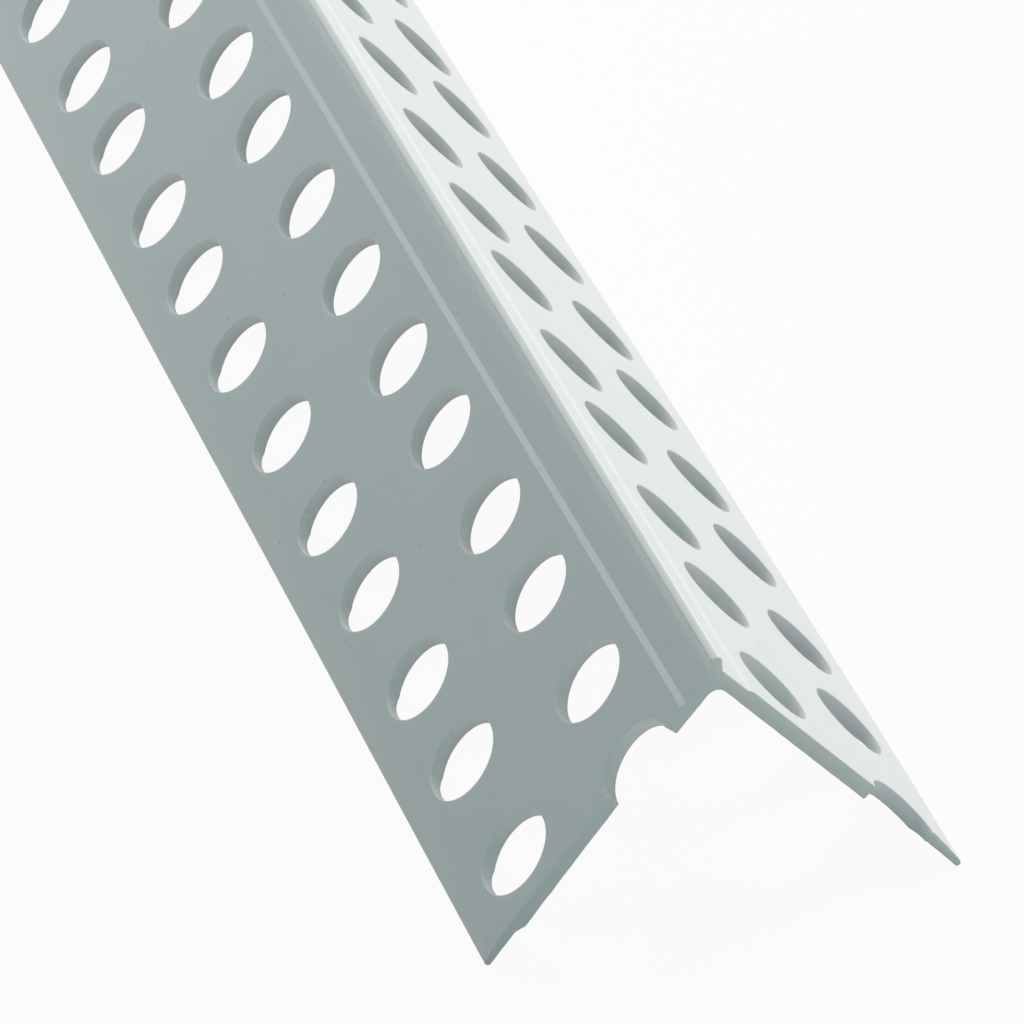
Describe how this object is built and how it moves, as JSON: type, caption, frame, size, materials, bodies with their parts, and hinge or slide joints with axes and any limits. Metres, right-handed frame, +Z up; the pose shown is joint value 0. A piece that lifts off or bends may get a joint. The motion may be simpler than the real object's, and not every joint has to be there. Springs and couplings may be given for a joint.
{
  "type": "corner bead",
  "caption": "Perforated PVC edge trim for a plastered outside corner: two thin punched legs meeting at a raised rib nose.",
  "frame": {"origin": "middle of the length, on the floor plane, straight under the nose", "axes": "+Y along the length from the pictured cut end to the far end, +Z up through the nose, the left leg towards -X"},
  "size_m": [0.0324, 2.5, 0.0195],
  "materials": {
    "pvc": "satin, smooth extruded white PVC"
  },
  "bodies": {
    "root": {"corner_bead": "pvc"}
  },
  "joints": []
}
